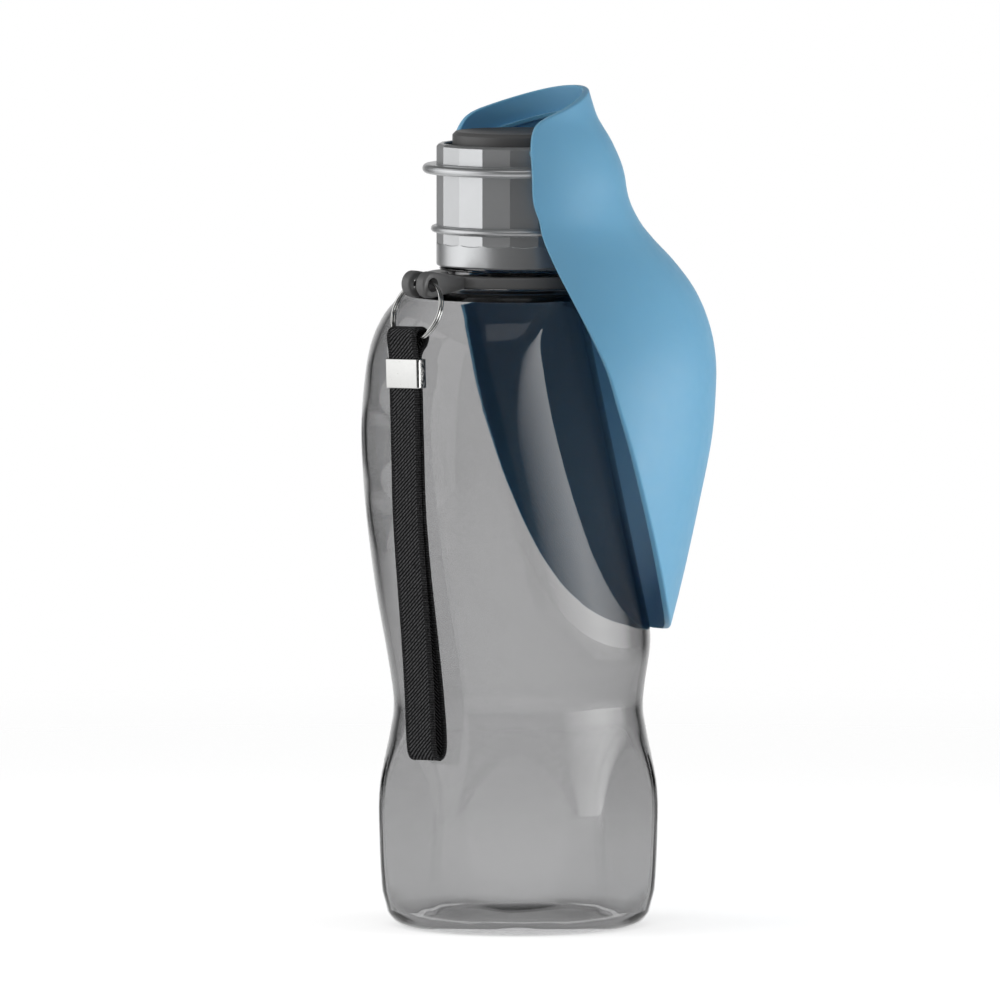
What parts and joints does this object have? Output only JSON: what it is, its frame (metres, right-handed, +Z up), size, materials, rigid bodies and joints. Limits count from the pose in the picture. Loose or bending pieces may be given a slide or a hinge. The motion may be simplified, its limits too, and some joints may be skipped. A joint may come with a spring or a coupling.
{
  "type": "dog travel water bottle",
  "caption": "Clear travel water bottle for a dog with a screw cap, a pull-up valve, a fold-out leaf-shaped silicone drinking bowl and a wrist strap.",
  "frame": {"origin": "centre of the base, on the surface that the bottle stands on", "axes": "+Z up along the bottle's axis, +X towards the folded leaf, +Y to the left seen from the leaf's side"},
  "size_m": [0.1072, 0.1042, 0.247],
  "materials": {
    "clear_plastic": "smoky transparent plastic, smooth",
    "cap_silver": "satin silver paint on plastic",
    "dark_plastic": "fine satin",
    "seal_rubber": "pale seal rubber",
    "black_rubber": "black seal rubber",
    "steel": "turned",
    "blue_silicone": "translucent satin silicone",
    "bright_metal": "bright plating",
    "black_webbing": "twill webbing"
  },
  "bodies": {
    "bottle": {"bottle_body": "clear_plastic"},
    "cap_carrier": {"neck_gasket": "seal_rubber"},
    "cap": {"cap_body": "cap_silver", "seat_washer": "seal_rubber", "valve_seat": "dark_plastic"},
    "valve": {"valve_plug": "dark_plastic", "valve_stem": "steel", "stem_seal": "black_rubber", "stem_clip": "steel"},
    "bowl": {"silicone_bowl": "blue_silicone"},
    "collar": {"strap_collar": "dark_plastic"},
    "ring": {"split_ring": "bright_metal"},
    "strap": {"strap_loop": "black_webbing", "strap_clasp": "bright_metal"}
  },
  "joints": [
    {"name": "cap_lift", "type": "slide", "parent": "bottle", "child": "cap_carrier", "axis": [0, 0, 1], "range_m": [0, 0.016]},
    {"name": "cap_turn", "type": "hinge", "parent": "cap_carrier", "child": "cap", "pos_m": [0, 0, 0.2], "axis": [0, 0, 1], "range_deg": [0, 1440]},
    {"name": "valve_pull", "type": "slide", "parent": "cap", "child": "valve", "axis": [0, 0, 1], "range_m": [0, 0.0035]},
    {"name": "bowl_fold", "type": "hinge", "parent": "cap_carrier", "child": "bowl", "pos_m": [-0.009, 0, 0.225], "axis": [0, -1, 0], "range_deg": [0, 120]},
    {"name": "collar_turn", "type": "hinge", "parent": "bottle", "child": "collar", "pos_m": [0, 0, 0.19075], "axis": [0, 0, 1], "range_deg": [-70, 30]},
    {"name": "ring_swing", "type": "hinge", "parent": "collar", "child": "ring", "pos_m": [-0.03719, -0.0139, 0.19075], "axis": [-0.3502, 0.9367, 0], "range_deg": [0, 65]},
    {"name": "strap_swing", "type": "hinge", "parent": "ring", "child": "strap", "pos_m": [-0.04294, -0.01744, 0.17434], "axis": [-0.3502, 0.9367, 0], "range_deg": [0, 12]}
  ],
  "couplings": [
    {"joint": "cap_turn", "follows": "cap_lift", "rad_per_m": 1570.8}
  ]
}
